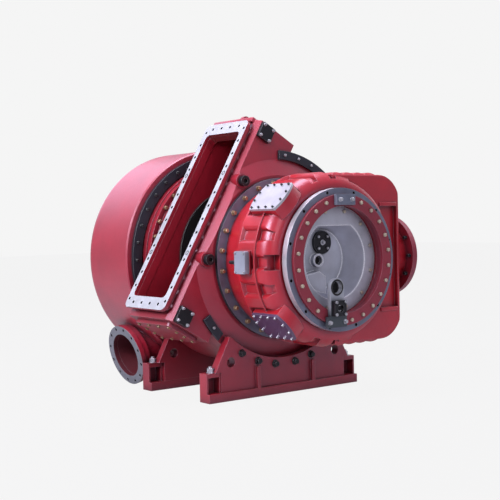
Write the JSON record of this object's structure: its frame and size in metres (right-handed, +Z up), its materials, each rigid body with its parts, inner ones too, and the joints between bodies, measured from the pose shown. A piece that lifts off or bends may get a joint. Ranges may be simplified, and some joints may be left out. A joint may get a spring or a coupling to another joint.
{
  "type": "marine turbocharger",
  "caption": "Marine turbocharger on two feet: fluted gas inlet casing, slanted rectangular gas outlet, and a round compressor volute with a bolted outlet.",
  "frame": {"origin": "on the base of the front foot, under the rotor axis", "axes": "+X to the gas inlet on the right, +Y along the rotor axis to the compressor, +Z up"},
  "size_m": [1.6299, 2.01, 1.8368],
  "materials": {
    "paint_maroon": "satin",
    "paint_red": "satin",
    "paint_crimson": "satin",
    "machined_steel": "machined",
    "flange_face": "machined",
    "black_steel": "satin",
    "aluminium": "cast",
    "dark_plate": "satin",
    "scorched_iron": "rough"
  },
  "bodies": {
    "root": {"gas_outlet_casing": "paint_maroon", "gas_outlet_flange": "flange_face", "belly_plate": "paint_maroon", "square_cover_upper": "black_steel", "square_cover_lower": "black_steel", "plug_upper": "black_steel", "plug_lower": "black_steel", "clamp_strip_upper": "black_steel", "clamp_strip_lower": "black_steel", "heat_shield": "scorched_iron", "lifting_eye": "paint_maroon", "joint_ring": "machined_steel", "gas_inlet_casing": "paint_red", "gas_inlet_flange": "paint_red", "oval_cover_upper": "flange_face", "oval_cover_lower": "dark_plate", "sensor_box": "aluminium", "cable_gland": "black_steel", "front_flange_ring": "machined_steel", "cover_ring": "paint_red", "bearing_cover": "aluminium", "oil_plate": "black_steel", "top_bracket": "machined_steel", "sensor_bracket": "aluminium", "connector_block": "black_steel", "bearing_casing": "paint_maroon", "volute_clamp_ring": "black_steel", "compressor_volute": "paint_crimson", "compressor_outlet_neck": "paint_crimson", "compressor_outlet_flange": "paint_crimson", "intake_cover": "paint_crimson", "front_foot_plate": "paint_maroon", "front_foot_sole": "paint_maroon", "rear_foot_plate": "paint_maroon", "rear_foot_sole": "paint_maroon"}
  },
  "joints": []
}
